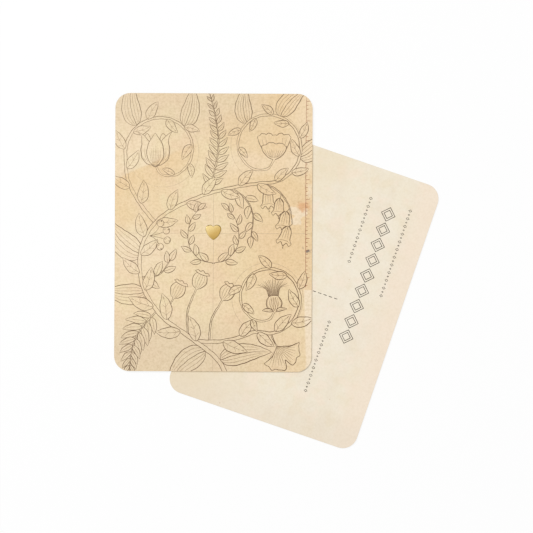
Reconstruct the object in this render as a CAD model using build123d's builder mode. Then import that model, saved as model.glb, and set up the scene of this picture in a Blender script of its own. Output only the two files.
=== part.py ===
from build123d import *
import os
from math import acos, cos, degrees, radians, sin, sqrt

# A pair of identical postcards laid in a fan: one lies face down on the table, the other face up
# across it. Each card is a three-ply pasted board. From its address face to its picture face it
# holds the address print, the address sheet, a paste film, the core board, a paste film, the
# picture sheet and the picture print. A foil heart is stamped through the picture print into the
# picture sheet.
#
# Millimetres. The origin is the middle of the lower card's underside, +Z points up, and +Y runs
# along the long side of the upper card.

# Outline of a card
card_length = 148.0
card_width = 105.0
corner_radius = 8.0

# Thickness of the layers
core_thickness = 0.22
picture_sheet_thickness = 0.10
address_sheet_thickness = 0.10
paste_thickness = 0.02
print_thickness = 0.02

# Foil heart, stamped in the middle of the picture face
heart_width = 8.3
heart_height = 8.1
heart_notch_depth = 1.15
heart_shoulder_angle = 10.0
foil_thickness = 0.02
foil_recess = 0.01
foil_clearance = 0.04

# How the upper card lies on the lower one
fan_angle = 18.7
upper_shift_x = -48.4
upper_shift_y = 29.7
air_gap = 0.05

# Height of each layer above the card's address face
address_sheet_height = print_thickness
address_paste_height = address_sheet_height + address_sheet_thickness
core_height = address_paste_height + paste_thickness
picture_paste_height = core_height + core_thickness
picture_sheet_height = picture_paste_height + paste_thickness
picture_print_height = picture_sheet_height + picture_sheet_thickness
card_thickness = picture_print_height + print_thickness

# The stamping die presses the foil this far under the picture face
stamp_depth = foil_thickness + foil_recess
foil_height = card_thickness - stamp_depth

# Plane of each card's address face, with its normal towards the picture face and its Y axis along
# the card's long side. The lower card is turned over about that axis.
turn = radians(-fan_angle)
address_faces = {
    "lower": Plane(
        origin=(0, 0, card_thickness),
        x_dir=(-cos(turn), -sin(turn), 0),
        z_dir=(0, 0, -1),
    ),
    "upper": Plane(
        origin=(upper_shift_x, upper_shift_y, card_thickness + air_gap),
        x_dir=(1, 0, 0),
        z_dir=(0, 0, 1),
    ),
}

# Heart outline. Half of it is an arc over the lobe, from the notch to a shoulder a little below the
# widest point, and a tangent arc from there to the tip. The lobe's circle touches the heart's top and
# side and passes through the notch, which gives its radius.
half_width = heart_width / 2
heart_top = heart_height / 2
lobe_radius = half_width + heart_notch_depth - sqrt(2 * half_width * heart_notch_depth)
lobe_x = half_width - lobe_radius
notch_angle = degrees(acos(-lobe_x / lobe_radius))
with BuildSketch() as heart:
    with BuildLine():
        lobe = CenterArc(
            center=(lobe_x, heart_top - lobe_radius),
            radius=lobe_radius,
            start_angle=notch_angle,
            arc_size=-notch_angle - heart_shoulder_angle,
        )
        TangentArc(lobe @ 1, (0, -heart_top), tangent=lobe % 1)
        mirror(about=Plane.YZ)
    make_face()

# Dent of the stamping die: the heart with the foil's clearance all round
with BuildSketch() as die:
    add(heart.sketch)
    offset(amount=foil_clearance)


def plain_layer(face, height, thickness):
    """A whole round-cornered layer of the card, at its height above the address face."""
    with BuildPart() as layer:
        with BuildSketch(face.offset(height)):
            RectangleRounded(card_width, card_length, corner_radius)
        extrude(amount=thickness)
    return layer.part


def stamped_layer(face, height, thickness):
    """A layer on the picture side, with the dent that the stamping die leaves in it."""
    with BuildPart() as layer:
        with BuildSketch(face.offset(height)):
            RectangleRounded(card_width, card_length, corner_radius)
        extrude(amount=thickness)
        with BuildSketch(face.offset(foil_height)):
            add(die.sketch)
        extrude(amount=stamp_depth, mode=Mode.SUBTRACT)
    return layer.part


def foil_heart(face):
    """The heart of metal foil on the floor of the dent."""
    with BuildPart() as foil:
        with BuildSketch(face.offset(foil_height)):
            add(heart.sketch)
        extrude(amount=foil_thickness)
    return foil.part


def card_pieces(face):
    """Every piece of one card, by name, from its address face to its picture face."""
    return {
        "address_print": plain_layer(face, 0, print_thickness),
        "address_sheet": plain_layer(face, address_sheet_height, address_sheet_thickness),
        "address_paste": plain_layer(face, address_paste_height, paste_thickness),
        "core_board": plain_layer(face, core_height, core_thickness),
        "picture_paste": plain_layer(face, picture_paste_height, paste_thickness),
        "picture_sheet": stamped_layer(face, picture_sheet_height, picture_sheet_thickness),
        "picture_print": stamped_layer(face, picture_print_height, print_thickness),
        "foil_heart": foil_heart(face),
    }


os.makedirs("parts", exist_ok=True)
for card, face in address_faces.items():
    for name, piece in card_pieces(face).items():
        piece.label = f"{card}_{name}"
        export_step(piece, f"parts/{card}_{name}.step")
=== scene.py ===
import bisect
import cmath
import math
import random

import bmesh
import bpy
from mathutils import Color, Matrix, Vector


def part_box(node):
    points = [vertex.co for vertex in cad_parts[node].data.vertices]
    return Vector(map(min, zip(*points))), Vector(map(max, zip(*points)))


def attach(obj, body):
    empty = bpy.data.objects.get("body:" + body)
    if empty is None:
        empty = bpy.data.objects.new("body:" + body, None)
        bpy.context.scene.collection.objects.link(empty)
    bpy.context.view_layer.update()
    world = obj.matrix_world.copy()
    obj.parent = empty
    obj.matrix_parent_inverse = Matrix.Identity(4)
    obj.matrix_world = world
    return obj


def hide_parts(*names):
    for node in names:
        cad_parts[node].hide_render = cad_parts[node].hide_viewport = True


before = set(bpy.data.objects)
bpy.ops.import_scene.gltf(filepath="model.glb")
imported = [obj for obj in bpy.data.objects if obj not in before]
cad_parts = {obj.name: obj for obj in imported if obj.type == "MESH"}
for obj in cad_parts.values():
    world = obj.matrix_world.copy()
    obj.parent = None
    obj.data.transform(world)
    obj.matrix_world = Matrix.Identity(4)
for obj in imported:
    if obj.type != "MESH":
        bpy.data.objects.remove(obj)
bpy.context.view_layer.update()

bl_info = {
    "name": "Fanned postcards",
    "version": (1, 0, 0),
    "blender": (4, 5, 0),
    "location": "3D View > Sidebar > Postcards",
    "description": "Finishes a fanned pair of old postcards: papers, drawing, ornament, foil and stage",
    "category": "Object",
}

MM = 0.001


def tone(red, green, blue):
    """Linear colour of an sRGB tone whose parts run to 255."""
    return tuple(Color((red / 255, green / 255, blue / 255)).from_srgb_to_scene_linear())


def tone_setting(name, description, *rgb):
    """A colour that a user can change."""
    return bpy.props.FloatVectorProperty(
        name=name, description=description, subtype="COLOR", size=3, min=0.0, max=1.0, default=tone(*rgb)
    )


def length_setting(name, description, millimetres):
    """A length that a user can change, kept in metres."""
    return bpy.props.FloatProperty(
        name=name, description=description, unit="LENGTH", precision=5, default=millimetres * MM
    )


def share_setting(name, description, share):
    """A share from 0 to 1 that a user can change."""
    return bpy.props.FloatProperty(
        name=name, description=description, subtype="FACTOR", min=0.0, max=1.0, default=share
    )


class PaperLooks(bpy.types.PropertyGroup):
    """Tones of the two printed sides."""

    picture: tone_setting("Picture paper", "Main tone of the picture side", 243, 220, 182)
    picture_pale: tone_setting("Faded patches", "Where the picture side has bleached", 249, 230, 202)
    picture_warm: tone_setting("Warm patches", "Where the picture side has browned", 239, 207, 160)
    picture_dull: tone_setting("Handled patches", "Where the picture side is soiled", 229, 208, 177)
    picture_rosy: tone_setting("Rosy clouds", "Where the picture side is reddish", 241, 213, 178)
    picture_olive: tone_setting("Olive clouds", "Where the picture side is greenish", 242, 223, 182)
    picture_stain: tone_setting("Rust stain", "The small stain by the torn place", 228, 176, 128)
    picture_blot: tone_setting("Blot", "The drop of ink by the ruled margin", 90, 80, 90)
    address: tone_setting("Address paper", "Main tone of the address side", 244, 234, 213)
    address_pale: tone_setting("Address fading", "Where the address side has bleached", 247, 238, 222)
    address_warm: tone_setting("Address browning", "Where the address side has browned", 238, 221, 189)
    address_pink: tone_setting("Address pink", "Outer edge and rosy clouds of that side", 248, 231, 211)
    address_dull: tone_setting("Address soiling", "Where the address side is soiled", 236, 222, 203)
    speck: tone_setting("Specks", "Small rusty specks in both papers", 196, 156, 112)
    picture_mottle: share_setting("Picture mottling", "How mottled the picture side is", 1.0)
    address_mottle: share_setting("Address mottling", "How mottled the address side is", 0.29)
    grain: share_setting("Grain", "How strongly the paper's grain catches the light", 0.22)


class PlyLooks(bpy.types.PropertyGroup):
    """Tones of the plies that show on the cut edge."""

    cover: tone_setting("Cover paper", "Raw paper under the print", 243, 234, 217)
    core: tone_setting("Core board", "Fibrous board in the middle", 218, 205, 180)
    paste: tone_setting("Paste", "Dried paste between the plies", 204, 184, 146)


class DrawingLooks(bpy.types.PropertyGroup):
    """Pens and inks of the picture side's drawing."""

    seed: bpy.props.IntProperty(name="Seed", description="Changes the hand's small slips", default=11)
    faint: length_setting("Setting-out line", "Width of the faint setting-out lines", 0.16)
    fine: length_setting("Fine line", "Width of veins and streaks", 0.20)
    line: length_setting("Outline", "Width of stalks, leaves and petals", 0.34)
    heavy: length_setting("Heavy line", "Width of the shaded side of a shape", 0.52)
    rule: length_setting("Margin line", "Width of the ruled margin and its ticks", 0.30)
    ink: tone_setting("Ink", "Brown-grey ink of the drawing", 88, 55, 30)
    ink_fine: tone_setting("Fine ink", "Thinner ink of the veins", 112, 80, 52)
    ink_faint: tone_setting("Pencil", "Pencil of the setting-out lines", 178, 154, 126)
    ink_rule: tone_setting("Margin ink", "Red-brown ink of the ruled margin", 150, 78, 50)
    fading: share_setting("Fading", "How far the ink has faded towards the upper left", 0.22)


class OrnamentLooks(bpy.types.PropertyGroup):
    """Sizes and ink of the address side's ornament."""

    pitch: length_setting("Lozenge pitch", "Distance between the lozenges of the wide row", 8.6)
    height: length_setting("Lozenge height", "Height of the wide row", 7.6)
    bead: length_setting("Bead size", "Height of the narrow rows", 1.7)
    nib: length_setting("Line", "Width of the ornament's lines", 0.48)
    bead_nib: length_setting("Bead line", "Width of the narrow rows' lines", 0.34)
    ink: tone_setting("Ink", "Grey-brown ink of the address side", 40, 27, 12)
    fading: share_setting("Fading", "How far the ink has faded towards the upper left", 0.02)


class FoilLooks(bpy.types.PropertyGroup):
    """Shape and metal of the stamped hearts."""

    rise: length_setting("Crown", "How far the foil swells over its rim", 0.03)
    gold: tone_setting("Gold", "Main tone of the foil", 199, 165, 97)
    # Painted highlight: the foil is made lighter on the lamp's side, not rubbed bright
    gold_highlight: tone_setting("Light gold", "Tone where the foil is rubbed bright", 242, 219, 158)
    # Painted shade of the rim and towards the tip, and also the tone of rubbed tarnish
    gold_shade_and_tarnish: tone_setting("Deep gold", "Tone of the rim and towards the tip", 161, 129, 58)
    # Painted shade over the lobes' top, laid on the rim
    gold_shade: tone_setting("Shaded gold", "Tone of the rim over both lobes", 84, 60, 24)


class StageLooks(bpy.types.PropertyGroup):
    """Camera, light and floor."""

    aim: bpy.props.FloatVectorProperty(
        name="Aim", description="Point of the table in the middle of the view", size=2, unit="LENGTH",
        default=(-20.06 * MM, 11.72 * MM),
    )
    frame_width: length_setting("View width", "Width of the table that the camera sees", 283.9)
    height: length_setting("Camera height", "Height of the camera over the table", 1200.0)
    roll: bpy.props.FloatProperty(
        name="Roll", description="Turn of the camera about its own axis", subtype="ANGLE",
        default=math.radians(0.3),
    )
    key_share: share_setting("Key light", "Share of the light that comes from the lamp", 0.36)
    floor: tone_setting("Floor", "Colour of the floor", 253, 253, 253)
    floor_glow: share_setting("Floor glow", "How far the floor shows plain white", 0.8)


LOOKS = {
    "postcard_paper": PaperLooks,
    "postcard_plies": PlyLooks,
    "postcard_drawing": DrawingLooks,
    "postcard_ornament": OrnamentLooks,
    "postcard_foil": FoilLooks,
    "postcard_stage": StageLooks,
}


class Card:
    """Where one card of the pair lies, read from its core board."""

    def __init__(self, name):
        self.name = name
        self.body = f"{name}_card"
        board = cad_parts[f"{name}_core_board"]
        upright = [face for face in board.data.polygons if abs(face.normal.z) < 0.5]
        long_side = max(upright, key=lambda face: face.area)
        across = long_side.normal if long_side.normal.x > 0 else -long_side.normal
        along = Vector((-across.y, across.x, 0.0))
        low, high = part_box(board.name)
        self.centre = (low + high) / 2
        self.turn = math.atan2(across.y, across.x)
        corners = [vertex.co for vertex in board.data.vertices]
        straight = [board.data.vertices[i].co for i in long_side.vertices]
        self.width = span(corners, across) / MM
        self.length = span(corners, along) / MM
        self.corner = (self.length - span(straight, along) / MM) / 2

    def face(self, side):
        """Place of a side's middle and its turn, where X is to the right, Y up the card and Z out of it."""
        low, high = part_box(f"{self.name}_{side}_print")
        faces_up = (low + high).z / 2 > self.centre.z
        place = Vector((self.centre.x, self.centre.y, high.z if faces_up else low.z))
        return place, (0.0, 0.0 if faces_up else math.pi, self.turn)

    def matrix(self, side):
        """Takes millimetres on a side to the frame."""
        place, (_, flip, turned) = self.face(side)
        tilt = Matrix.Rotation(turned, 4, "Z") @ Matrix.Rotation(flip, 4, "Y")
        return Matrix.Translation(place) @ tilt @ Matrix.Scale(MM, 4)

    def holds(self, point, inset):
        """True if a point of a side lies inside the card's rounded outline by an inset."""
        x = abs(point.real) - self.width / 2 + self.corner
        y = abs(point.imag) - self.length / 2 + self.corner
        return math.hypot(max(x, 0.0), max(y, 0.0)) + min(max(x, y), 0.0) < self.corner - inset


def span(points, way):
    """Reach of a set of points along a direction."""
    along = [point.dot(way) for point in points]
    return max(along) - min(along)


CARDS = [Card("lower"), Card("upper")]


class Shade:
    """One socket of a node tree. Arithmetic on values adds Math nodes, and node() adds any other node."""

    def __init__(self, tree, socket=None):
        self.tree = tree
        self.socket = socket

    def node(self, kind, settings=None, inputs=None, output=0):
        """Adds a node, sets it up, fills its sockets and gives one of its outputs."""
        made = self.tree.nodes.new(kind)
        for name, value in (settings or {}).items():
            setattr(made, name, value)
        for name, value in (inputs or {}).items():
            if isinstance(value, Shade):
                self.tree.links.new(value.socket, made.inputs[name])
            else:
                made.inputs[name].default_value = value
        return Shade(self.tree, made.outputs[output] if made.outputs else None)

    def other(self, output):
        """Another output of the same node."""
        return Shade(self.tree, self.socket.node.outputs[output])

    def maths(self, operation, *values):
        return self.node("ShaderNodeMath", {"operation": operation}, dict(enumerate(values)))

    def vector(self, operation, *values, output=0):
        return self.node("ShaderNodeVectorMath", {"operation": operation}, dict(enumerate(values)), output)

    def __add__(self, other):
        return self.maths("ADD", self, other)

    def __sub__(self, other):
        return self.maths("SUBTRACT", self, other)

    def __rsub__(self, other):
        return self.maths("SUBTRACT", other, self)

    def __mul__(self, other):
        return self.maths("MULTIPLY", self, other)

    __radd__ = __add__
    __rmul__ = __mul__


def new_material(name):
    """An empty material, as its data and the start of its nodes."""
    made = bpy.data.materials.new(name)
    made.use_nodes = True
    made.node_tree.nodes.clear()
    return made, Shade(made.node_tree)


def finish_surface(start, inputs):
    """Ends a material with one Principled shader."""
    shader = start.node("ShaderNodeBsdfPrincipled", None, inputs)
    start.node("ShaderNodeOutputMaterial", None, {"Surface": shader})


def rgba(colour):
    """A setting's colour as a socket takes it."""
    return (*colour, 1.0)


def mix(share, first, second):
    """Colour between two colours."""
    start = next(value for value in (share, first, second) if isinstance(value, Shade))
    return start.node("ShaderNodeMix", {"data_type": "RGBA"}, {0: share, 6: first, 7: second}, 2)


def layered(colour, *layers):
    """Lays tones over a colour, each where its mask shows it."""
    for mask, laid in layers:
        colour = mix(mask, colour, rgba(laid))
    return colour


def tinted(mask, colour, tint):
    """Darkens a colour by a tint where its mask shows it."""
    return mix(mask, colour, colour.vector("MULTIPLY", colour, tint))


def fade(value, zero, one):
    """Smooth mask that goes from 0 to 1 between two values, in either order."""
    limits = {"Value": value, "From Min": zero, "From Max": one}
    return value.node("ShaderNodeMapRange", {"interpolation_type": "SMOOTHSTEP"}, limits)


def noise(place, size, detail=3.0):
    """Cloudy value about 0.5, with clouds of a size in millimetres."""
    inputs = {"Vector": place, "Scale": 1.0 / size, "Detail": detail}
    return place.node("ShaderNodeTexNoise", None, inputs)


def moved(place, x, y):
    """The same place on a pattern that is shifted, so that two patterns don't match."""
    return place.vector("ADD", place, (x, y, 0.0))


def drawn_out(place, x, y):
    """The same place on a pattern that is finer along x and y by their shares."""
    return place.vector("MULTIPLY", place, (x, y, 1.0))


def wander(place, size, reach):
    """Places pushed about by up to half a reach, so that what is drawn on them has uneven edges."""
    push = place.vector("SUBTRACT", noise(place, size).other("Color"), (0.5,) * 3)
    return place.vector("ADD", place, place.vector("MULTIPLY", push, (reach, reach, 0.0)))


def split(place):
    """X and Y of a place."""
    x = place.node("ShaderNodeSeparateXYZ", None, {0: place})
    return x, x.other("Y")


def patch(place, centre, reach, edge):
    """Mask of a round patch: 1 well inside its reach, and gone past it, over a share edge of the reach."""
    out = place.vector("DIVIDE", place.vector("SUBTRACT", place, (*centre, 0.0)), (*reach, 1.0))
    return fade(place.vector("LENGTH", out, output="Value"), 1.0 + edge, 1.0 - edge)


def on_side(start, card, side):
    """Millimetres from the middle of a card's side."""
    place, turned = card.face(side)
    inputs = {
        "Vector": start.node("ShaderNodeTexCoord", output="Object"),
        "Location": place,
        "Rotation": turned,
        "Scale": (MM, MM, MM),
    }
    return start.node("ShaderNodeMapping", {"vector_type": "TEXTURE"}, inputs)


def from_edge(place, card):
    """Distance in from the card's outline, up to its corner radius, in millimetres."""
    straight = (card.width / 2 - card.corner, card.length / 2 - card.corner, 1.0)
    beyond = place.vector("SUBTRACT", place.vector("ABSOLUTE", place), straight)
    outside = place.vector("MAXIMUM", beyond, (0.0,) * 3)
    return card.corner - place.vector("LENGTH", outside, output="Value")


def specks(place, pitch, size):
    """Mask of small scattered specks, in about a third of the cells of a pitch."""
    cell = place.node("ShaderNodeTexVoronoi", None, {"Vector": place, "Scale": 1.0 / pitch})
    chosen = fade(split(cell.other("Color"))[0], 0.62, 0.7)
    return fade(cell, size / pitch, 0.3 * size / pitch) * chosen


def fibres(place, length, width):
    """Mask of thin fibres that lie along the card."""
    lying = drawn_out(wander(place, 6.0, 5.0), length / width, 1.0)
    return fade(noise(lying, length, 2.0), 0.60, 0.72)


# Tints of a paper's darker rim along its edge and of the hollows of its mottling, and the height of its
# grain
EDGE_TINT = (0.93, 0.92, 0.91)
MOTTLE_TINT = (0.84, 0.82, 0.765)
GRAIN_HEIGHT = 0.03 * MM


def finish_paper(start, place, colour, card, looks, mottle):
    """Gives a paper's tone its specks, fibres, darker rim along the edge, mottling and grain, and ends its
    material.
    """
    thread = fibres(place, 5.0, 0.35)
    colour = layered(
        colour,
        (specks(place, 11.0, 0.45) * 0.55, looks.speck),
        (specks(moved(place, 40.0, 9.0), 4.6, 0.22) * 0.4, looks.speck),
        (thread * 0.10, looks.picture_dull),
    )
    # Darker within about half a millimetre of the card's edge
    edge_rim = fade(from_edge(place, card) + noise(place, 1.6) * 0.5, 0.62, 0.30)
    colour = tinted(edge_rim, colour, EDGE_TINT)
    weave = noise(drawn_out(place, 1.0, 0.12), 0.9, 2.0) + noise(drawn_out(place, 0.12, 1.0), 0.9, 2.0)
    blotch = fade(noise(place, 2.6, 4.0), 0.44, 0.70) * 0.40
    blotch = blotch + fade(noise(moved(place, 7.0, 50.0), 1.2, 2.0), 0.40, 0.66) * 0.54
    shadow = (blotch + fade(weave, 0.90, 1.25) * 0.08) * mottle
    colour = tinted(shadow, colour, MOTTLE_TINT)
    grain = noise(place, 0.55, 4.0)
    colour = layered(colour, (fade(grain, 0.42, 0.75) * mottle * 0.3, looks.picture_pale))
    height = grain + thread * 0.35 + noise(place, 0.16, 2.0) * 0.5
    relief = {"Strength": looks.grain, "Distance": GRAIN_HEIGHT, "Height": height}
    finish_surface(start, {
        "Base Color": colour,
        "Roughness": 0.80 + grain * 0.14,
        "Normal": start.node("ShaderNodeBump", None, relief),
        "Specular IOR Level": 0.18,
    })


def picture_paper(card, looks):
    """Browned old paper with faded, soiled and torn places, a rust stain and a once covered strip."""
    made, start = new_material(f"{card.name}_picture_paper")
    place = on_side(start, card, "picture")
    loose = wander(place, 11.0, 8.0)
    ragged = wander(wander(place, 4.0, 6.0), 1.0, 2.6)
    x, y = split(loose)
    edge_x, edge_y = split(wander(place, 7.0, 1.2))
    pale, warm, dull = looks.picture_pale, looks.picture_warm, looks.picture_dull
    rosy, olive = looks.picture_rosy, looks.picture_olive

    # Clouds and tinges all over, then browned to the right with a bleached band across, a browned and
    # a greenish patch, and soiled towards the foot
    tinge = noise(moved(place, 20.0, 70.0), 15.0)
    colour = layered(
        rgba(looks.picture),
        (fade(noise(place, 30.0), 0.42, 0.70) * 0.40, warm),
        (fade(noise(moved(place, 90.0, 0.0), 24.0), 0.46, 0.72) * 0.30, pale),
        (fade(tinge, 0.51, 0.64) * 0.7, rosy),
        (fade(tinge, 0.49, 0.36) * 0.7, olive),
        (fade(x, -5.0, 42.0) * fade(y, -34.0, -16.0) * 0.72, warm),
        (fade(x, -8.0, 20.0) * fade(y, -8.0, -30.0) * 0.25, warm),
        (patch(loose, (27.0, 37.0), (27.0, 6.0), 0.5) * 0.35, pale),
        (patch(loose, (12.0, 56.0), (11.0, 8.0), 0.6) * 0.5, warm),
        (patch(loose, (-10.0, 28.0), (8.0, 9.0), 0.6) * 0.6, olive),
        (fade(y, -37.0, -62.0) * fade(x, 60.0, -12.0) * 0.7, dull),
    )

    # The upper left corner is paler above a slanted line, with a darker, browner band under it. The top is
    # soiled, and the left edge has a bleached and a browned spot
    slant = (edge_x + 47.3) * -0.41 + (edge_y - 30.4) * 0.91
    band = fade(slant, -17.0, -3.0) * fade(slant, 0.9, -0.9) * fade(x, 0.0, -24.0)
    colour = layered(
        colour,
        (band * 0.6, warm),
        (fade(slant, -0.9, 1.1) * fade(x, -22.0, -40.0) * 0.36, pale),
        (fade(y, 42.0, 68.0) * fade(x, 44.0, 12.0) * 0.5, dull),
        (patch(loose, (-42.0, -9.0), (13.0, 11.0), 0.6) * 0.44, pale),
        (patch(loose, (-48.0, 9.0), (7.0, 6.0), 0.7) * 0.5, warm),
    )

    # By the right edge: a bleached end, a torn place, a bleached spot, a rust stain, a blot and a strip
    # that something once covered
    torn = patch(ragged, (45.1, 11.0), (5.0, 2.6), 0.12)
    torn = torn.maths("MAXIMUM", torn, patch(ragged, (44.6, 7.4), (2.4, 3.6), 0.12))
    colour = layered(
        colour,
        (fade(x, 34.0, 48.0) * fade(y, 24.0, 36.0) * 0.4, pale),
        (torn * 0.8, pale),
        (patch(ragged, (50.7, 22.7), (1.8, 3.5), 0.5) * 0.6, pale),
        (patch(ragged, (48.0, 14.2), (2.8, 2.4), 0.5) * 0.85, looks.picture_stain),
        (patch(ragged, (50.0, -9.2), (1.9, 1.4), 0.4) * 0.8, looks.picture_blot),
        (fade(edge_x + edge_y * 0.03, 46.9, 48.1) * fade(edge_y, -30.1, -30.5), pale),
    )
    finish_paper(start, place, colour, card, looks, looks.picture_mottle)
    return made


def address_paper(card, looks):
    """Cream paper, streaked along the card, browned at two corners and pinkish along its outer edge."""
    made, start = new_material(f"{card.name}_address_paper")
    place = on_side(start, card, "address")
    loose = wander(place, 14.0, 12.0)
    x, y = split(loose)
    pale, warm = looks.address_pale, looks.address_warm
    pink, dull = looks.address_pink, looks.address_dull
    tinge = noise(moved(place, 35.0, 10.0), 8.0)
    colour = layered(
        rgba(looks.address),
        (fade(noise(drawn_out(place, 1.0, 0.35), 12.0), 0.40, 0.72) * 0.45, dull),
        (fade(tinge, 0.50, 0.66) * 0.32, warm),
        (fade(tinge, 0.48, 0.34) * 0.45, pale),
        (fade(noise(moved(place, 60.0, 20.0), 9.0), 0.50, 0.66) * 0.6, pink),
        (fade(x, -2.0, -48.0) * fade(y, 10.0, -60.0) * 0.9, warm),
        (patch(loose, (-10.0, 66.0), (12.0, 12.0), 0.6) * 0.45, warm),
        (patch(loose, (24.0, 4.0), (16.0, 46.0), 0.6) * 0.35, pale),
        (fade(x, 34.0, 50.0) * 0.75, pink),
        (fade(y, -50.0, -72.0) * 0.45, dull),
    )
    finish_paper(start, place, colour, card, looks, looks.address_mottle)
    return made


def ink_material(name, card, side, ink, paper, wear, fading):
    """Old ink, dry in places and faded towards the upper left, where the paper shows through."""
    made, start = new_material(name)
    place = on_side(start, card, side)
    dry = fade(noise(place, 5.0), 0.44, 0.66) * 0.6 + fade(noise(place, 0.6, 2.0), 0.40, 0.64) * 0.4
    x, y = split(place)
    faded = fade(x, 30.0, -50.0) * 0.32 + fade(y, -45.0, 55.0) * 0.68
    colour = layered(rgba(ink), (dry * wear + faded * fading, paper))
    finish_surface(start, {"Base Color": colour, "Roughness": 0.75, "Specular IOR Level": 0.2})
    return made


def ply_material(name, card, raw, dark, roughness):
    """Raw paper, board or paste, flecked with fibres."""
    made, start = new_material(name)
    place = on_side(start, card, "address")
    colour = layered(
        rgba(raw),
        (fade(noise(place, 2.4, 4.0), 0.40, 0.70) * 0.6, dark),
        (fibres(place, 3.0, 0.25) * 0.4, dark),
    )
    finish_surface(start, {"Base Color": colour, "Roughness": roughness, "Specular IOR Level": 0.25})
    return made


FOIL_HEIGHT = 0.02 * MM


def foil_material(name, card, looks, gold, highlight, shaded):
    """Satin gold leaf with a painted highlight along a given direction, painted shade at the tip and top,
    and tarnish.
    """
    made, start = new_material(name)
    place = on_side(start, card, "picture")
    x, y = split(wander(place, 3.0, 1.2))
    rub = noise(place, 0.5, 4.0)
    colour = layered(
        rgba(gold),
        # Painted highlight, lighter along the given direction
        (fade(x * highlight[0] + y * highlight[1], -1.4, 4.0) * 0.8, looks.gold_highlight),
        # Painted shade, darker towards the tip
        (fade(y, -0.8, -4.2) * 0.6, looks.gold_shade_and_tarnish),
        # Painted shade over the top of the lobes, where shaded is 1
        (fade(y, 2.6, 3.6) * shaded, looks.gold_shade),
        # Rubbed tarnish, darker in random spots
        (fade(rub, 0.45, 0.75) * 0.35, looks.gold_shade_and_tarnish),
    )
    relief = {"Strength": 0.3, "Distance": FOIL_HEIGHT, "Height": rub}
    finish_surface(start, {
        "Base Color": colour,
        "Metallic": 1.0,
        "Roughness": 0.30 + rub * 0.2,
        "Normal": start.node("ShaderNodeBump", None, relief),
    })
    return made


def dress(node, material):
    """Gives a CAD node its material."""
    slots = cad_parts[node].data.materials
    slots.clear()
    slots.append(material)


def add_piece(name, mesh, card):
    """Puts a finished mesh into the scene, riding on its card."""
    made = bpy.data.objects.new(name, mesh)
    bpy.context.scene.collection.objects.link(made)
    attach(made, card.body)
    return made


def turn(degrees):
    """Unit step in a direction on the card."""
    return cmath.rect(1.0, math.radians(degrees))


def heading(way):
    """Direction of a step, in degrees."""
    return math.degrees(cmath.phase(way))


def shares(count, start=0.0, end=1.0):
    """Evenly spaced values from start to end."""
    return [start + (end - start) * i / (count - 1) for i in range(count)]


def spots(*pairs):
    """Points on the card from pairs of x and y in millimetres."""
    return [complex(x, y) for x, y in pairs]


def mirrored(knots):
    """Knots from one side of a motif to its middle, and on to its other side."""
    return knots + [(along, -across) for along, across in knots[-2::-1]]


def through(knots, steps=10):
    """Smooth points through the knots."""
    ends = [2 * knots[0] - knots[1], *knots, 2 * knots[-1] - knots[-2]]
    points = []
    for a, b, c, d in zip(ends, ends[1:], ends[2:], ends[3:]):
        for t in shares(steps + 1)[:-1]:
            bow = (2 * a - 5 * b + 4 * c - d) * t**2 + (3 * b - a - 3 * c + d) * t**3
            points.append(0.5 * (2 * b + (c - a) * t + bow))
    return points + [knots[-1]]


class Spine:
    """A smooth line that gives its place and direction at any share of its length."""

    def __init__(self, points):
        self.points = list(points)
        self.reach = [0.0]
        for a, b in zip(self.points, self.points[1:]):
            self.reach.append(self.reach[-1] + abs(b - a))
        self.length = self.reach[-1]

    def at(self, share):
        goal = share * self.length
        last = len(self.points) - 2
        low = min(max(bisect.bisect_right(self.reach, goal) - 1, 0), last)
        a, b = self.points[low], self.points[low + 1]
        step = self.reach[low + 1] - self.reach[low]
        point = a + (b - a) * (goal - self.reach[low]) / max(step, 1e-9)
        way = self.points[min(low + 2, last + 1)] - self.points[max(low - 1, 0)]
        return point, way / abs(way)

    def part(self, count, start=0.0, end=1.0):
        return [self.at(t)[0] for t in shares(count, start, end)]


def curl(start, angle, length, bend=0.0, count=24):
    """A line that leaves start at an angle and turns evenly by bend, in degrees."""
    points = [start]
    for t in shares(count)[:-1]:
        points.append(points[-1] + length / (count - 1) * turn(angle + bend * (t + 0.5 / count)))
    return Spine(points)


# Millimetres between a stroke's points, the fewest points that it has, the share of it over which the
# pressure builds up from either end, the lengths between which its sway varies, and the steps in which
# the end of a cut stroke is found
STROKE_STEP = 0.35
FEWEST_POINTS = 4
PRESS_SHARE = 0.35
SWAY_LENGTHS = (4.0, 7.0)
BORDER_STEPS = 5

# Pressure at the start, the middle and the end of a stroke
EVEN = (1.0, 1.0, 1.0)
SWELLING = (0.6, 1.0, 0.6)
TRAILING = (1.0, 0.8, 0.2)


def inside(point, outline):
    """True if the point lies within a closed outline."""
    hit = False
    for a, b in zip(outline, outline[1:] + outline[:1]):
        if (a.imag > point.imag) != (b.imag > point.imag):
            rise = (point.imag - a.imag) / (b.imag - a.imag)
            hit ^= point.real < a.real + rise * (b.real - a.real)
    return hit


def border(inner, outer, allowed):
    """Where a stroke from an allowed point to one that isn't has to end."""
    for _ in range(BORDER_STEPS):
        middle = tuple((a + b) / 2 for a, b in zip(inner, outer))
        if allowed(middle[0]):
            inner = middle
        else:
            outer = middle
    return inner


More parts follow.
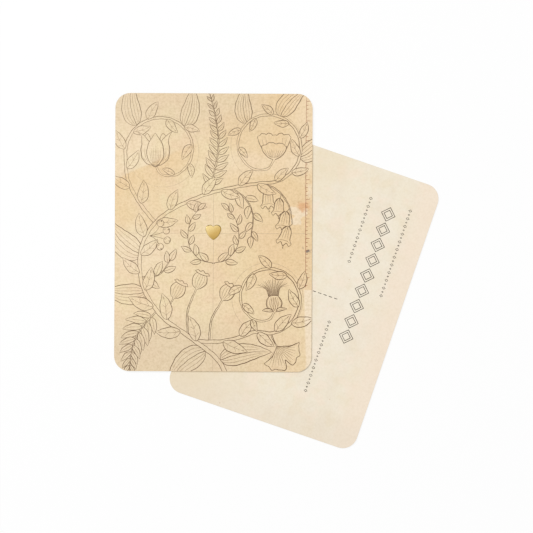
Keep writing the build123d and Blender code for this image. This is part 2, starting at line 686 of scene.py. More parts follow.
class Pen:
    """Collects strokes as (nib, [(point, pressure)]), and hides what a later shape covers."""

    def __init__(self, seed, lean):
        self.random = random.Random(seed)
        self.lean = lean
        self.strokes = []

    def outline(self, corners, nib):
        """A printed closed outline with sharp corners."""
        self.strokes.append((nib, [(corner, 1.0) for corner in (*corners, corners[0])]))

    def draw(self, points, nib="line", press=(0.55, 1.0, 0.45), sway=0.09):
        """A stroke pressed from first to middle to last, heavier to the right, with a hand's slow sway."""
        spine = Spine(points)
        phase = self.random.uniform(0.0, math.tau)
        wave = math.tau / self.random.uniform(*SWAY_LENGTHS)
        made = []
        for t in shares(max(FEWEST_POINTS, int(spine.length / STROKE_STEP))):
            point, way = spine.at(t)
            end, near = (press[0], t) if t < 0.5 else (press[2], 1.0 - t)
            weight = end + (press[1] - end) * min(1.0, near / PRESS_SHARE)
            swing = math.sin(phase + wave * spine.length * t)
            made.append((point + 1j * way * sway * swing, weight * (1.0 + self.lean * point.real)))
        self.strokes.append((nib, made))

    def keep(self, allowed):
        """Cuts every stroke down to its allowed stretches, and drops the shortest of them."""
        runs = []
        for nib, points in self.strokes:
            before, run = None, None
            for item in points:
                if not allowed(item[0]):
                    if run:
                        run.append(border(run[-1], item, allowed))
                    before, run = item, None
                    continue
                if run is None:
                    run = [border(item, before, allowed)] if before else []
                    runs.append((nib, run))
                run.append(item)
        self.strokes = [(nib, run) for nib, run in runs if len(run) >= FEWEST_POINTS]

    def cover(self, outline):
        """Hides what was drawn inside an outline."""
        left, right = min(p.real for p in outline), max(p.real for p in outline)
        low, high = min(p.imag for p in outline), max(p.imag for p in outline)

        def clear(point):
            boxed = left < point.real < right and low < point.imag < high
            return not (boxed and inside(point, outline))

        self.keep(clear)

    def shape(self, left, right, light, dark, nib="line", top=()):
        """Hides what a shape covers and draws its left side, then its right side in a nib of its own."""
        self.cover([*left, *top, *right[::-1]])
        self.draw(left, "line", light)
        self.draw(right, nib, dark)


class Place:
    """Shares along and across a motif, set on the card."""

    def __init__(self, base, angle, size):
        self.base = base
        self.step = size * turn(angle)

    def __call__(self, along, across=0.0):
        return self.base + self.step * complex(along, across)

    def line(self, knots, side=1):
        """Smooth line through knots, with their shares across times side, so that -1 mirrors it."""
        return through([self(along, side * across) for along, across in knots])

    def sides(self, knots):
        """Smooth lines through knots on the left and on the right."""
        return self.line(knots), self.line(knots, -1)


def stem(pen, spine, thick, thin):
    """A stalk in two lines that draw together towards its end."""
    edges = {1: [], -1: []}
    for t in shares(max(8, int(spine.length))):
        point, way = spine.at(t)
        for side, edge in edges.items():
            edge.append(point + side * 1j * way * (thick + (thin - thick) * t) / 2)
    pen.shape(edges[1], edges[-1], (0.9, 1.0, 0.6), (0.7, 0.8, 0.5))


# A leaf's edges stop just short of its tip, where they meet
LEAF_TIP = 0.999


def leaf(pen, base, angle, length, width, bend=20.0, veins=3):
    """A pointed leaf along a bent midrib, with pairs of side veins."""
    spine = curl(base, angle, length, bend, count=16)

    def edge(side, t):
        point, way = spine.at(t)
        return point + side * 1j * way * width / 2 * math.sin(math.pi * t**0.75) ** 0.9

    left, right = ([edge(side, t) for t in shares(20, 0.0, LEAF_TIP)] for side in (1, -1))
    pen.shape(left, right, (0.6, 1.0, 0.5), (0.8, 1.15, 0.4))
    pen.draw(spine.part(14, 0.0, 0.86), "fine", (1.1, 0.9, 0.3))
    for t in shares(veins, 0.16, 0.76):
        root = spine.at(t)[0]
        for side in (1, -1):
            tip = root + (edge(side, t + 0.17) - root) * 0.84
            bow = (spine.at(t + 0.05)[0] - root) * 0.5
            pen.draw(through([root, (root + tip) / 2 + bow, tip], 5), "fine", (0.8, 0.7, 0.2), 0.02)


def leaves_along(
    pen, spine, spacing, length, width, reach=(0.1, 0.9), taper=0.6, veins=3, lean=48.0, first=1
):
    """Leaves on alternate sides of a stalk, smaller towards its end."""
    start, end = reach
    side = first
    for t in shares(int(spine.length * (end - start) / spacing) + 1, start, end):
        side = -side
        point, way = spine.at(t)
        size = 1.0 + (taper - 1.0) * (t - start) / (end - start)
        size *= pen.random.uniform(0.9, 1.1)
        angle = heading(way) + side * (lean + pen.random.uniform(-6.0, 6.0))
        leaf(pen, point + side * 0.3j * way, angle, length * size, width * size, side * -24.0, veins)


def sprig(pen, knots, spacing, length, width):
    """A leafy side shoot that ends in a leaf."""
    spine = Spine(through(knots))
    stem(pen, spine, thick=0.7, thin=0.3)
    leaves_along(pen, spine, spacing, length, width, reach=(0.16, 0.92), taper=0.7, veins=0)
    end, way = spine.at(1.0)
    leaf(pen, end, heading(way), length * 0.8, width * 0.8, bend=10.0, veins=0)


def ribbed_leaf(pen, base, angle, length, width, bend):
    """A broad leaf whose ribs run from its foot to its tip."""
    spine = curl(base, angle, length, bend)

    def rib(share, t):
        point, way = spine.at(t)
        return point + share * 1j * way * width / 2 * math.sin(math.pi * t**0.62) ** 0.85

    left, right = ([rib(side, t) for t in shares(26, 0.0, LEAF_TIP)] for side in (1.0, -1.0))
    pen.shape(left, right, (0.7, 1.0, 0.6), (0.5, 0.8, 0.4), "heavy")
    pen.draw(spine.part(20, 0.0, 0.92), "line", (1.1, 0.8, 0.3))
    for share in (-0.66, -0.33, 0.33, 0.66):
        end = 0.93 - 0.15 * abs(share)
        pen.draw([rib(share, t) for t in shares(20, 0.04, end)], "fine", (0.9, 0.8, 0.2), 0.05)


def fern(pen, knots, pairs, length):
    """A frond: narrow leaflets in pairs along its stalk."""
    spine = Spine(through(knots))
    stem(pen, spine, thick=0.9, thin=0.25)
    for t in shares(pairs, 0.10, 0.96):
        size = length * min(1.0, 0.55 + 2.4 * t) * (1.0 - t) ** 0.62 + 1.2
        for side in (1, -1):
            point, way = spine.at(t)
            angle = heading(way) + side * (68.0 - 30.0 * t + pen.random.uniform(-4.0, 4.0))
            leaf(pen, point, angle, size, size * 0.34, bend=side * -24.0, veins=0)


def tulip(pen, base, angle, size):
    """A tulip from the side: two outer petals behind a pointed middle one."""
    at = Place(base, angle, size)
    back = [(0.62, 0.10), (0.84, 0.16), (0.97, 0.24), (0.86, 0.33), (0.70, 0.36)]
    flank = [(0.0, 0.03), (0.02, 0.20), (0.18, 0.38), (0.42, 0.44), (0.66, 0.41), (0.86, 0.42)]
    flank += [(1.02, 0.52)]
    fold = [(1.02, 0.52), (0.90, 0.34), (0.74, 0.20), (0.55, 0.10)]
    half = [(0.0, 0.0), (0.05, 0.13), (0.25, 0.245), (0.50, 0.25), (0.74, 0.165), (0.98, 0.0)]
    for side in (1, -1):
        edge = at.line(back, side)
        pen.cover(edge)
        pen.draw(edge, "line", (0.5, 0.9, 0.5))
    for side in (1, -1):
        outer, inner = at.line(flank, side), at.line(fold, side)
        pen.cover(outer + inner)
        pen.draw(outer, "line", (0.9, 1.2, 0.5))
        pen.draw(inner, "line", (0.5, 1.0, 0.7))
        for v in shares(4, 0.10, 0.325):
            streak = [(0.04 + 0.3 * v, v * 0.9), (0.30, v * 1.25), (0.46 + 0.4 * v, v * 1.28)]
            pen.draw(at.line(streak, side), "fine", TRAILING, 0.03)
    pen.shape(*at.sides(half), (0.8, 1.1, 0.5), (0.6, 0.9, 0.4), "heavy")
    for v in shares(7, -0.15, 0.15):
        streak = [(0.05, v * 0.45), (0.25, v), (0.64 - 1.2 * abs(v), v * 1.05)]
        pen.draw(at.line(streak), "fine", TRAILING, 0.03)
    foot = [(0.03, 0.14), (-0.03, 0.05), (-0.03, -0.05), (0.03, -0.14)]
    pen.draw(at.line(foot), "heavy", (0.4, 1.0, 0.4))


def poppy(pen, base, angle, size):
    """An open poppy from the side: a wide front petal before two taller ones."""
    at = Place(base, angle, size)

    def rim(low, high, reach, waves):
        phase = pen.random.uniform(0.0, 6.0)
        made = []
        for t in shares(40):
            ripple = math.sin(phase + waves * t) + 0.4 * math.sin(2.0 * phase + 2.3 * waves * t)
            made.append(at(reach - 0.10 * (2 * t - 1) ** 2 + 0.026 * ripple, low + (high - low) * t))
        return made

    for side in (1, -1):
        back = rim(-0.08 * side, 0.60 * side, 0.93, 16)
        edge = through([back[-1], at(0.52, 0.50 * side), at(0.22, 0.30 * side), at(0.0, 0.03 * side)])
        pen.cover(back + edge)
        pen.draw(back, "line", SWELLING, 0.03)
        pen.draw(edge, "line", (0.6, 1.1, 0.8), 0.03)
        for v in shares(3, 0.22, 0.42):
            streak = [(0.43 + 0.3 * v, v * 1.2), (0.66, v * 1.3), (0.89 - 0.4 * v, v * 1.36)]
            pen.draw(at.line(streak, side), "fine", (0.7, 0.8, 0.2), 0.02)
    front = rim(-0.44, 0.44, 0.60, 14)
    left, right = at.sides([(0.0, 0.03), (0.10, 0.22), (0.30, 0.40), (0.50, 0.44)])
    pen.cover(left + front[::-1] + right[::-1])
    pen.draw(front, "line", (0.7, 1.1, 0.7), 0.03)
    pen.draw(left, "line", (0.8, 1.0, 0.7), 0.03)
    pen.draw(right, "heavy", (0.6, 0.8, 0.6), 0.03)
    for v in shares(9, -0.34, 0.34):
        reach = pen.random.uniform(0.34, 0.39)
        streak = [(0.06 + 0.1 * abs(v), v * 0.35), (0.20, v * 0.75), (reach, v)]
        pen.draw(at.line(streak), "fine", TRAILING, 0.02)


def thistle(pen, base, angle, size):
    """A thistle: a scaly bulb under a tuft of fine rays."""
    at = Place(base, angle, size)
    for ray, spread in enumerate(shares(19, -1.0, 1.0)):
        reach = 1.02 - 0.22 * spread**2 + pen.random.uniform(-0.03, 0.03)
        hair = [(0.44, 0.15 * spread), (0.72, 0.24 * spread), (reach, 0.52 * spread)]
        pen.draw(at.line(hair), "line" if ray % 2 else "fine", (0.9, 0.8, 0.35), 0.03)
    half = [(0.0, 0.03), (0.04, 0.16), (0.20, 0.245), (0.36, 0.215), (0.47, 0.15)]
    top = at.line(mirrored([(0.47, 0.15), (0.50, 0.0)]))
    pen.shape(*at.sides(half), (0.7, 1.0, 0.7), (0.5, 0.8, 0.5), "heavy", top)
    pen.draw(top, "line", (0.7, 0.9, 0.7), 0.02)
    for foot in shares(5, -0.10, 0.10):
        for side in (1, -1):
            scale = [(0.02, foot), (0.22, 1.6 * foot - 0.06 * side), (0.45, foot - 0.05 * side)]
            pen.draw(at.line(scale), "fine", (0.8, 0.8, 0.6), 0.02)
    for side in (1, -1):
        root = at(0.0, 0.04 * side)
        leaf(pen, root, angle + side * 62.0, size * 0.36, size * 0.11, bend=side * 40.0, veins=0)


def bell(pen, base, angle, size):
    """A hanging bellflower with a lobed lip."""
    at = Place(base, angle, size)
    half = [(0.0, 0.06), (0.06, 0.17), (0.24, 0.27), (0.52, 0.29), (0.76, 0.34), (0.94, 0.46)]
    lobes = [(0.94, 0.46), (1.10, 0.34), (0.95, 0.17), (1.14, 0.0)]
    brim = [(0.94, 0.46), (0.84, 0.2), (0.82, 0.0)]
    rib = [(0.10, 0.7), (0.45, 1.2), (0.78, 1.35)]
    sepal = [(-0.03, 0.2), (0.12, 0.75), (0.24, 1.1)]
    lip = at.line(mirrored(lobes))
    pen.shape(*at.sides(half), (0.8, 1.0, 0.6), (0.8, 1.2, 0.6), top=lip)
    pen.draw(lip, "line", SWELLING, 0.03)
    pen.draw(at.line(mirrored(brim)), "fine", (0.5, 0.9, 0.5), 0.03)
    for side in (-0.115, 0.0, 0.115):
        pen.draw(at.line(rib, side), "fine", TRAILING, 0.02)
    for side in (-0.24, 0.0, 0.24):
        pen.draw(at.line(sepal, side), "line", (1.2, 1.0, 0.3), 0.0)
    pen.draw([at(1.08, 0.02), at(1.30, 0.05)], "line", (0.7, 0.8, 1.4), 0.0)


def bells(pen, knots, hung, size):
    """Bellflowers that hang from an arched stalk on short stalks of their own."""
    spine = Spine(through(knots))
    for share, sway in hung:
        point, way = spine.at(share)
        stalk = curl(point, heading(way) - 30.0, 3.0, sway - 60.0)
        pen.draw(stalk.points, "line", (0.9, 0.8, 0.8), 0.03)
        bell(pen, stalk.points[-1], sway - 100.0, size * pen.random.uniform(0.92, 1.06))
    stem(pen, spine, thick=0.9, thin=0.4)


def seed_head(pen, foot, head, size):
    """A poppy's ribbed seed head on its bent stalk."""
    stalk = Spine(through([foot, (foot + head) / 2 + 0.10j * (head - foot), head]))
    stem(pen, stalk, thick=0.8, thin=0.7)
    at = Place(head, heading(stalk.at(1.0)[1]), size)
    half = [(0.0, 0.04), (0.10, 0.20), (0.36, 0.34), (0.62, 0.30), (0.76, 0.19)]
    rays = [(0.77, 0.36), (0.86, 0.24), (0.82, 0.12), (0.90, 0.0)]
    rest = [(0.77, 0.36), (0.71, 0.18), (0.70, 0.0)]
    rib = [(0.05, 0.12), (0.25, 0.28), (0.48, 0.33), (0.68, 0.24)]
    crown, brim = at.line(mirrored(rays)), at.line(mirrored(rest))
    pen.shape(*at.sides(half), (0.7, 1.0, 0.6), (0.5, 0.8, 0.4), "heavy", crown)
    pen.cover(crown + brim[::-1])
    for rim in (crown, brim):
        pen.draw(rim, "line", SWELLING, 0.02)
    for side in (-0.62, -0.25, 0.15, 0.55):
        pen.draw(at.line(rib, side), "fine", (0.7, 0.8, 0.4), 0.02)


def fan_leaf(pen, base, angle, size):
    """A fan-shaped leaf with a split, wavy rim and rays for veins."""
    stalk = curl(base, angle, size * 0.55, 15.0)
    foot, way = stalk.at(1.0)
    phase = pen.random.uniform(0.0, 6.0)

    def rim(t):
        split_depth = 1.0 - 0.34 * math.exp(-(((t - 0.5) / 0.035) ** 2))
        ripple = 1.0 + 0.035 * math.sin(phase + 31.0 * t) + 0.02 * math.sin(2.0 * phase + 53.0 * t)
        reach = size * split_depth * ripple * (1.0 - 0.12 * (2.0 * t - 1.0) ** 2)
        return foot + reach * turn(heading(way) + 68.0 * (2.0 * t - 1.0))

    edge = [rim(t) for t in shares(72)]
    right, left = (
        through([foot, foot + size * 0.45 * turn(heading(way) + bow), end])
        for bow, end in ((-56.0, edge[0]), (56.0, edge[-1]))
    )
    stem(pen, stalk, thick=0.5, thin=0.5)
    pen.cover(right + edge + left[::-1])
    pen.draw(edge, "line", (0.7, 1.05, 0.7), 0.03)
    pen.draw(right, "line", (0.8, 1.0, 0.7), 0.03)
    pen.draw(left, "heavy", (0.6, 0.8, 0.5), 0.03)
    for ray, t in enumerate(shares(15, 0.04, 0.96)):
        tip = rim(t) - foot
        start = 0.05 if ray % 2 else 0.28
        end = pen.random.uniform(0.78, 0.93)
        pen.draw([foot + tip * start, foot + tip * end], "fine", (0.8, 0.8, 0.25), 0.02)


def berries(pen, root, angle, count, reach, radius):
    """A small branched bunch of berries."""
    for fan in shares(count, -50.0, 50.0):
        stalk = curl(root, angle + fan * 0.35, reach * pen.random.uniform(0.75, 1.1), fan)
        pen.draw(stalk.points, "line", (0.8, 0.7, 0.6), 0.03)
        end, way = stalk.at(1.0)
        centre = end + way * radius
        outline = [centre + way * radius * turn(160.0 + 372.0 * t) for t in shares(26)]
        highlight = [centre + radius * 0.6 * turn(95.0 + 75.0 * t) for t in shares(12)]
        pen.cover(outline)
        pen.draw(outline, "line", (0.7, 1.0, 0.6), 0.04)
        pen.draw(highlight, "fine", (0.7, 1.0, 0.6), 0.02)
        pen.draw([centre + way * radius * share for share in (0.45, 0.9)], "heavy", SWELLING, 0.0)


def wreath(pen, side):
    """One of the two sprigs that bend round the heart."""
    knots = ((0.8, -16.5), (-7.0, -14.5), (-12.5, -8.0), (-13.5, 0.0), (-11.5, 7.5), (-8.0, 12.0))
    spine = Spine(through([complex(side * x, y) for x, y in knots]))
    pen.draw(spine.points, "line", (0.9, 0.9, 0.5), 0.04)
    leaves_along(
        pen, spine, spacing=3.6, length=6.6, width=3.0,
        reach=(0.10, 0.95), taper=0.75, veins=0, lean=46.0, first=side,
    )
    end, way = spine.at(1.0)
    leaf(pen, end, heading(way), length=5.4, width=2.4, bend=-14.0 * side, veins=0)


def scroll(centre, outer, start, hand):
    """Knots of a stalk that winds into a ring and hooks up to its middle, anticlockwise where hand is 1."""
    end = 180.0 if hand > 0 else 0.0
    ring = [centre + outer * (1.0 - 0.24 * t) * turn(start + (end - start) * t) for t in shares(12)]
    hook = ((-0.66, -0.32), (-0.36, -0.60), (0.03, -0.60), (0.20, -0.36))
    return ring + [centre + outer * complex(hand * x, y) for x, y in hook]


def set_out(pen, centres):
    """Faint setting-out lines: the card's two axes and a ring for each scroll."""
    radius = 19.0
    rings = [[centre + radius * turn(360.0 * t) for t in shares(60)] for centre in centres]
    for line in (spots((0, -80), (0, 80)), spots((-60, -0.5), (60, -0.5)), *rings):
        pen.draw(line, "faint", EVEN, 0.0)


def ruled_margin(pen):
    """A ruled line down the right side with short ticks, like a scale's."""
    margin, ticks, long_every, long_tick = 49.2, 48, 5, 2.1
    pen.draw(spots((margin, 72.0), (49.0, 30.0), (margin, -29.0)), "rule", (0.7, 1.0, 0.7), 0.06)
    for k, y in enumerate(shares(ticks, 70.0, -28.0)):
        reach = pen.random.uniform(0.8, 1.2) if k % long_every else long_tick
        pen.draw(spots((margin, y), (margin + reach, y + 0.05)), "rule", (0.9, 0.8, 0.5), 0.0)


def draw_background(pen):
    """Ferns, sprays and broad leaves, which lie behind the vine."""
    fern(pen, spots((-30, -42), (-38, -51), (-43, -62), (-45, -80)), pairs=11, length=11.5)
    fern(pen, spots((-3, 20), (0.5, 33), (2.5, 47), (0.5, 63), (-4, 80)), pairs=14, length=8.0)
    right_sprig = spots((9, 24), (17, 18), (21, 9), (20, -2))
    left_sprig = spots((-38, -24), (-32, -24), (-27, -21), (-23, -15))
    sprig(pen, right_sprig, spacing=4.6, length=8.0, width=3.8)
    sprig(pen, left_sprig, spacing=4.6, length=8.6, width=4.0)
    hung = ((0.34, 12.0), (0.57, 6.0), (0.79, 0.0), (1.0, -6.0))
    bells(pen, spots((14, 25), (25, 26), (34, 22.5), (40, 14.5), (42, 5)), hung, size=8.8)
    for foot, head in (((-24, -47), (-21, -35)), ((-13, -56), (-9, -30)), ((-2, -58), (5, -36))):
        seed_head(pen, complex(*foot), complex(*head), size=11.5)
    for foot, angle, length, width, bend in (
        ((-38, -12), 160, 28, 13, -55),
        ((-36, -32), 195, 24, 11, -40),
        ((4, -68), 24, 28, 11, -30),
        ((-4, -63), 200, 27, 12, 45),
        ((45.5, 40), 20, 22, 10, 60),
        ((-41, 57), 120, 24, 10, -50),
        ((35.3, 61.8), 70, 22, 10, -50),
        ((-15.8, 56.5), 60, 22, 9.5, 40),
        ((17.6, 58.4), 115, 20, 9, -50),
    ):
        ribbed_leaf(pen, complex(*foot), angle, length, width, bend)
    fan_leaf(pen, complex(31, -54), angle=-72, size=13.0)


def garden(seed):
    """Strokes of the picture: a vine with three scrolls, each round a flower, and sprays between them."""
    pen = Pen(seed, lean=0.0025)
    upper_right, lower_right, upper_left = spots((28, 46), (29, -35), (-27, 43))
    climb = spots((9, -79), (2, -67), (-12, -56), (-28, -44), (-38, -27))
    climb += spots((-38, -7), (-28, 8), (-10, 18), (8, 23.5))
    right_shoot = spots((-9, -58), (4, -58), (15, -55.5))
    left_shoot = spots((-31, 5), (-39, 15), (-45.5, 27))
    vine = Spine(through(climb + scroll(upper_right, 20.0, -100.0, 1)))
    right_branch = Spine(through(right_shoot + scroll(lower_right, 19.0, -110.0, 1)))
    left_branch = Spine(through(left_shoot + scroll(upper_left, 20.5, 195.0, -1)))
    set_out(pen, (upper_right, lower_right, upper_left))
    ruled_margin(pen)
    draw_background(pen)
    for stalk, thick in ((left_branch, 1.8), (right_branch, 1.9), (vine, 2.3)):
        stem(pen, stalk, thick, thin=0.9)
    leaves_along(pen, vine, spacing=9.5, length=15.0, width=6.7, taper=0.5)
    for stalk in (right_branch, left_branch):
        leaves_along(pen, stalk, spacing=9.5, length=13.0, width=5.9)
    for flower, stalk, size, lean in (
        (poppy, vine, 15.0, 30.0),
        (thistle, right_branch, 17.0, 35.0),
        (tulip, left_branch, 17.5, -30.0),
    ):
        end, way = stalk.at(1.0)
        flower(pen, end, heading(way) + lean, size)
    berries(pen, complex(-34, -2), angle=2.0, count=4, reach=8.5, radius=1.8)
    for side in (1, -1):
        wreath(pen, side)
    return pen


# Length of a lozenge as a share of the wide row's pitch, the narrow rows' pitch as a share of their height,
# and the length of a bead as a share of its height
LOZENGE_LENGTH = 0.88
BEAD_PITCH = 1.25
BEAD_LENGTH = 0.75


def lozenge(centre, half_x, half_y):
    """Corners of a lozenge."""
    return [centre + half_x, centre + 1j * half_y, centre - half_x, centre - 1j * half_y]


def ornament(pitch, height, bead):
    """Strokes of the address side: a wide row of lozenges, narrow rows of beads and a dashed divider."""
    pen = Pen(seed=1, lean=0.0)
    wide_row, lozenges, outer_and_inner = complex(29.5, 52.0), 9, (1.0, 0.62)
    narrow_rows = ((40.0, 57.5, 9.8), (18.0, 57.0, 21.6), (18.4, -12.4, -51.0))
    divider, dashes, dash, dash_pitch = complex(18.6, 0.5), 22, 1.9, 3.0
    for k in range(lozenges):
        for share in outer_and_inner:
            half_length = share * pitch * LOZENGE_LENGTH / 2
            pen.outline(lozenge(wide_row - 1j * pitch * k, share * height / 2, half_length), "line")
    for x, top, foot in narrow_rows:
        count = int((top - foot) / (bead * BEAD_PITCH)) + 1
        for k, y in enumerate(shares(count, top, foot)):
            size = bead / 4 if k % 2 else bead / 2
            pen.outline(lozenge(complex(x, y), size, size * BEAD_LENGTH), "bead")
    for k in range(dashes):
        start = divider - dash_pitch * k
        pen.draw([start, start - dash], "bead", (0.9, 1.2, 0.9), 0.0)
    return pen


def thinned(points, width, slack):
    """The points that a stroke needs to stay within slack of its line and of its width."""
    (start, first), (end, last) = points[0], points[-1]
    reach = end - start

    def stray(item):
        point, weight = item
        share = ((point - start) / reach).real if abs(reach) > slack else 0.0
        share = min(max(share, 0.0), 1.0)
        drift = abs(point - start - share * reach)
        return drift + width * abs(weight - first - share * (last - first)) / 2

    far = max(range(len(points)), key=lambda i: stray(points[i]))
    if stray(points[far]) < slack:
        return [points[0], points[-1]]
    return thinned(points[: far + 1], width, slack)[:-1] + thinned(points[far:], width, slack)


# Millimetres that ink may leave its stroke by, its height as a share of its width, the millimetres within
# which its points are joined, and those that it stays inside the card's edge
INK_SLACK = 0.012
INK_RISE = 0.10
INK_WELD = 0.0002
EDGE_INSET = 0.2


def ink_mesh(name, strokes, nibs, inks, place):
    """Closed low beads of ink along the strokes, with a material for each nib, put in their place."""
    curve = bpy.data.curves.new(name, "CURVE")
    for ink in inks:
        curve.materials.append(ink)
    curve.dimensions = "3D"
    curve.twist_mode = "Z_UP"
    curve.bevel_depth = 0.5
    curve.bevel_resolution = 0
    curve.use_fill_caps = True
    for nib, points in strokes:
        line = thinned(points, nibs[nib], INK_SLACK)
        closed = points[0] == points[-1]
        line = line[:-1] if closed else line
        spline = curve.splines.new("POLY")
        spline.points.add(len(line) - 1)
        spline.use_cyclic_u = closed
        spline.material_index = list(nibs).index(nib)
        for knot, (point, weight) in zip(spline.points, line):
            knot.co = (point.real, point.imag, 0.0, 1.0)
            knot.radius = weight * nibs[nib]
    holder = bpy.data.objects.new(name, curve)
    mesh = bpy.data.meshes.new_from_object(holder)
    bpy.data.objects.remove(holder)
    bpy.data.curves.remove(curve)
    bm = bmesh.new()
    bm.from_mesh(mesh)
    bmesh.ops.remove_doubles(bm, verts=bm.verts, dist=INK_WELD)
    bmesh.ops.transform(bm, matrix=place @ Matrix.Diagonal((1.0, 1.0, INK_RISE, 1.0)), verts=bm.verts)
    bm.to_mesh(mesh)
    bm.free()
    mesh.shade_flat()
    mesh.name = name
    return mesh


def add_ink(card, side, piece, strokes, nibs, inks):
    """Adds a piece of ink to a side of a card."""
    name = f"{card.name}_{piece}"
    add_piece(name, ink_mesh(name, strokes, nibs, inks, card.matrix(side)), card)


def heart_outline(card):
    """Outline of the CAD foil in millimetres on the card's picture side, in order round its middle."""
    to_side = card.matrix("picture").inverted()
    points = [to_side @ vertex.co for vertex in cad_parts[f"{card.name}_foil_heart"].data.vertices]
    return sorted((complex(point.x, point.y) for point in points), key=cmath.phase)


# Rings of a heart's crown from the rim inwards: material (1 is the rim's painted shade), size of what lies
# inside it, share of the rise
HEART_RINGS = ((1, 0.90, 0.55), (0, 0.88, 0.27), (0, 0.80, 0.18))
HEART_WELD = 0.001 * MM
FLAT_ANGLE = math.radians(0.2)


def heart_mesh(card, rise):
    """A stamped heart: the CAD foil with its top swelling from a thin rim in steps."""
    bm = bmesh.new()
    bm.from_mesh(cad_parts[f"{card.name}_foil_heart"].data)
    bmesh.ops.remove_doubles(bm, verts=bm.verts, dist=HEART_WELD)
    bmesh.ops.dissolve_limit(bm, angle_limit=FLAT_ANGLE, verts=bm.verts, edges=bm.edges)
    outward = (card.matrix("picture").to_3x3() @ Vector((0.0, 0.0, 1.0))).normalized()
    top = max(bm.faces, key=lambda face: face.normal.dot(outward) * face.calc_area())
    for material, size, share in HEART_RINGS:
        ring = bmesh.ops.inset_region(bm, faces=[top], thickness=0.0)
        middle = Matrix.Translation(-top.calc_center_median())
        bmesh.ops.scale(bm, vec=(size, size, 1.0), space=middle, verts=top.verts)
        bmesh.ops.translate(bm, vec=outward * share * rise, verts=top.verts)
        for face in ring["faces"]:
            face.smooth = True
            face.material_index = material
    mesh = bpy.data.meshes.new(f"{card.name}_heart")
    bm.to_mesh(mesh)
    bm.free()
    return mesh


class POSTCARD_OT_papers(bpy.types.Operator):
    """Give both printed sides of each card their old paper"""

    bl_idname = "postcard.papers"
    bl_label = "Papers"

    def execute(self, context):
        looks = context.scene.postcard_paper
        for card in CARDS:
            dress(f"{card.name}_picture_print", picture_paper(card, looks))
            dress(f"{card.name}_address_print", address_paper(card, looks))
        return {"FINISHED"}


class POSTCARD_OT_plies(bpy.types.Operator):
    """Finish the cover papers, paste films and core boards that show on the cut edges"""

    bl_idname = "postcard.plies"
    bl_label = "Plies"

    def execute(self, context):
        looks = context.scene.postcard_plies
        for card in CARDS:
            cover = ply_material(f"{card.name}_cover_paper", card, looks.cover, looks.core, roughness=0.85)
            core = ply_material(f"{card.name}_core_board", card, looks.core, looks.paste, roughness=0.9)
            paste = ply_material(f"{card.name}_paste", card, looks.paste, looks.core, roughness=0.55)
            for side in ("picture", "address"):
                dress(f"{card.name}_{side}_sheet", cover)
                dress(f"{card.name}_{side}_paste", paste)
            dress(f"{card.name}_core_board", core)
        return {"FINISHED"}


class POSTCARD_OT_drawing(bpy.types.Operator):
    """Draw the flowering vine, its setting-out lines and the ruled margin on each picture side"""

    bl_idname = "postcard.drawing"
    bl_label = "Drawing"

    pieces = {"picture_lines": ("fine", "line", "heavy"), "setting_out": ("faint",), "margin": ("rule",)}
    wear = {"faint": 0.5, "fine": 0.24, "line": 0.16, "heavy": 0.08, "rule": 0.3}

    def execute(self, context):
        looks = context.scene.postcard_drawing
        paper = context.scene.postcard_paper.picture
        tones = {"faint": looks.ink_faint, "fine": looks.ink_fine, "rule": looks.ink_rule}
        pen = garden(looks.seed)
        pen.cover(heart_outline(CARDS[0]))
        pen.keep(lambda point: CARDS[0].holds(point, EDGE_INSET))
        for card in CARDS:
            for piece, used in self.pieces.items():
                nibs = {nib: getattr(looks, nib) / MM for nib in used}
                strokes = [stroke for stroke in pen.strokes if stroke[0] in used]
                inks = []
                for nib in used:
                    name, ink = f"{card.name}_{nib}_ink", tones.get(nib, looks.ink)
                    made = ink_material(name, card, "picture", ink, paper, self.wear[nib], looks.fading)
                    inks.append(made)
                add_ink(card, "picture", piece, strokes, nibs, inks)
        return {"FINISHED"}


class POSTCARD_OT_ornament(bpy.types.Operator):
    """Print the plain ornament on each card's address side"""

    bl_idname = "postcard.ornament"
    bl_label = "Ornament"

    wear = {"line": 0.12, "bead": 0.24}

    def execute(self, context):
        looks = context.scene.postcard_ornament
        paper = context.scene.postcard_paper.address
        pen = ornament(looks.pitch / MM, looks.height / MM, looks.bead / MM)
        nibs = {"line": looks.nib / MM, "bead": looks.bead_nib / MM}
        for card in CARDS:
            inks = []
            for nib, wear in self.wear.items():
                name = f"{card.name}_{nib}_print"
                made = ink_material(name, card, "address", looks.ink, paper, wear, looks.fading)
                inks.append(made)
            add_ink(card, "address", "address_lines", pen.strokes, nibs, inks)
        return {"FINISHED"}


class POSTCARD_OT_hearts(bpy.types.Operator):
    """Stamp a swelling heart of gold foil into each picture side"""

    bl_idname = "postcard.hearts"
    bl_label = "Foil hearts"

    def execute(self, context):
        looks = context.scene.postcard_foil
        # The crown carries the painted highlight; the rim is painted shade in deeper gold, with painted
        # shade over the lobes
        crown = {"gold": looks.gold, "highlight": (-0.45, 0.8), "shaded": 0.0}
        rim = {"gold": looks.gold_shade_and_tarnish, "highlight": (-0.6, -0.3), "shaded": 1.0}
        for card in CARDS:
            mesh = heart_mesh(card, looks.rise)
            for name, part in (("gold_foil", crown), ("shaded_foil_rim", rim)):
                mesh.materials.append(foil_material(f"{card.name}_{name}", card, looks, **part))
            piece = add_piece(f"{card.name}_heart", mesh, card)
            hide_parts(f"{card.name}_foil_heart")
        return {"FINISHED"}


def seen_directly(start):
    """1 for rays from the camera and for those that a mirror or a glass sends on."""
    path = start.node("ShaderNodeLightPath", output="Is Camera Ray")
    seen = path.maths("MAXIMUM", path, path.other("Is Glossy Ray"))
    return seen.maths("MAXIMUM", seen, path.other("Is Transmission Ray"))


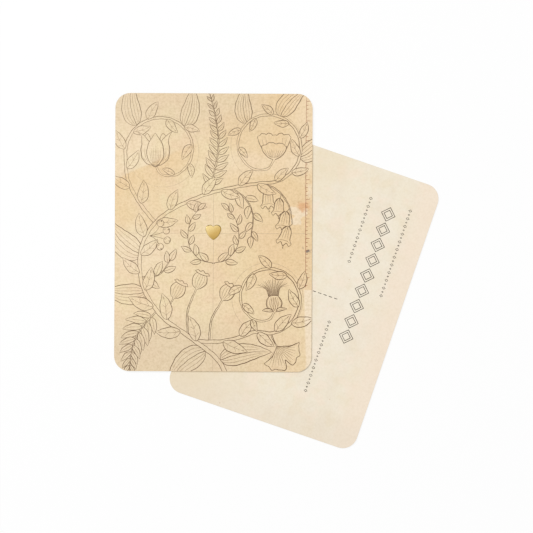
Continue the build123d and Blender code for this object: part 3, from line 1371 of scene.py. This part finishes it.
class POSTCARD_OT_stage(bpy.types.Operator):
    """Set up the floor, the soft light and the camera"""

    bl_idname = "postcard.stage"
    bl_label = "Stage"

    floor_drop = 0.06 * MM
    floor_size = 2.0
    key_way = Vector((-0.55, 0.50, 0.80))
    key_distance = 2.6
    key_size = 0.9
    sensor = 36.0

    def execute(self, context):
        looks = context.scene.postcard_stage
        scene = context.scene
        scene.view_settings.view_transform = "Standard"
        aim = Vector((*looks.aim, 0.0))
        self.add_floor(scene, looks, aim)
        self.light_world(scene, 1.0 - looks.key_share)
        self.add_key(scene, looks.key_share, aim)
        self.add_camera(scene, looks, aim)
        return {"FINISHED"}

    def add_floor(self, scene, looks, aim):
        bm = bmesh.new()
        bmesh.ops.create_grid(bm, x_segments=1, y_segments=1, size=self.floor_size)
        bmesh.ops.translate(bm, verts=bm.verts, vec=aim - Vector((0.0, 0.0, self.floor_drop)))
        mesh = bpy.data.meshes.new("floor")
        bm.to_mesh(mesh)
        bm.free()
        made, start = new_material("floor_paint")
        matt = start.node("ShaderNodeBsdfDiffuse", None, {"Color": rgba(looks.floor)})
        white = start.node("ShaderNodeEmission", None, {"Strength": 1.0})
        shown = seen_directly(start) * looks.floor_glow
        both = start.node("ShaderNodeMixShader", None, {0: shown, 1: matt, 2: white})
        start.node("ShaderNodeOutputMaterial", None, {"Surface": both})
        mesh.materials.append(made)
        floor = bpy.data.objects.new("floor", mesh)
        scene.collection.objects.link(floor)

    def light_world(self, scene, level):
        world = bpy.data.worlds.new("studio")
        world.use_nodes = True
        world.node_tree.nodes.clear()
        start = Shade(world.node_tree)
        strength = level + seen_directly(start) * (1.0 - level)
        white = (1.0, 1.0, 1.0, 1.0)
        sky = start.node("ShaderNodeBackground", None, {"Color": white, "Strength": strength})
        start.node("ShaderNodeOutputWorld", None, {"Surface": sky})
        scene.world = world

    def add_key(self, scene, share, aim):
        way = self.key_way.normalized()
        lamp = bpy.data.lights.new("key", "AREA")
        lamp.size = self.key_size
        lamp.energy = share * math.pi**2 * self.key_distance**2 / way.z
        key = bpy.data.objects.new("key", lamp)
        key.location = aim + way * self.key_distance
        key.rotation_euler = way.to_track_quat("Z", "Y").to_euler()
        key.visible_camera = False
        scene.collection.objects.link(key)

    def add_camera(self, scene, looks, aim):
        data = bpy.data.cameras.new("camera")
        data.sensor_width = self.sensor
        data.lens = self.sensor * looks.height / looks.frame_width
        camera = bpy.data.objects.new("camera", data)
        camera.location = aim + Vector((0.0, 0.0, looks.height))
        camera.rotation_euler = (0.0, 0.0, looks.roll)
        scene.collection.objects.link(camera)
        scene.camera = camera


class POSTCARD_PT_panel(bpy.types.Panel):
    """Lists what builds the postcards' looks"""

    bl_idname = "POSTCARD_PT_panel"
    bl_label = "Postcards"
    bl_space_type = "VIEW_3D"
    bl_region_type = "UI"
    bl_category = "Postcards"

    def draw(self, context):
        for name, group in LOOKS.items():
            box = self.layout.box()
            box.label(text=group.__doc__)
            for setting in group.__annotations__:
                box.prop(getattr(context.scene, name), setting)
        for operator in OPERATORS:
            self.layout.operator(operator.bl_idname)


OPERATORS = (
    POSTCARD_OT_papers,
    POSTCARD_OT_plies,
    POSTCARD_OT_drawing,
    POSTCARD_OT_ornament,
    POSTCARD_OT_hearts,
    POSTCARD_OT_stage,
)


def register():
    for group in LOOKS.values():
        bpy.utils.register_class(group)
    for name, group in LOOKS.items():
        setattr(bpy.types.Scene, name, bpy.props.PointerProperty(type=group))
    for operator in OPERATORS:
        bpy.utils.register_class(operator)
    bpy.utils.register_class(POSTCARD_PT_panel)


def unregister():
    bpy.utils.unregister_class(POSTCARD_PT_panel)
    for operator in reversed(OPERATORS):
        bpy.utils.unregister_class(operator)
    for name, group in LOOKS.items():
        delattr(bpy.types.Scene, name)
        bpy.utils.unregister_class(group)


def main():
    register()
    bpy.ops.postcard.papers()
    bpy.ops.postcard.plies()
    bpy.ops.postcard.drawing()
    bpy.ops.postcard.ornament()
    bpy.ops.postcard.hearts()
    bpy.ops.postcard.stage()


if __name__ == "__main__":
    main()
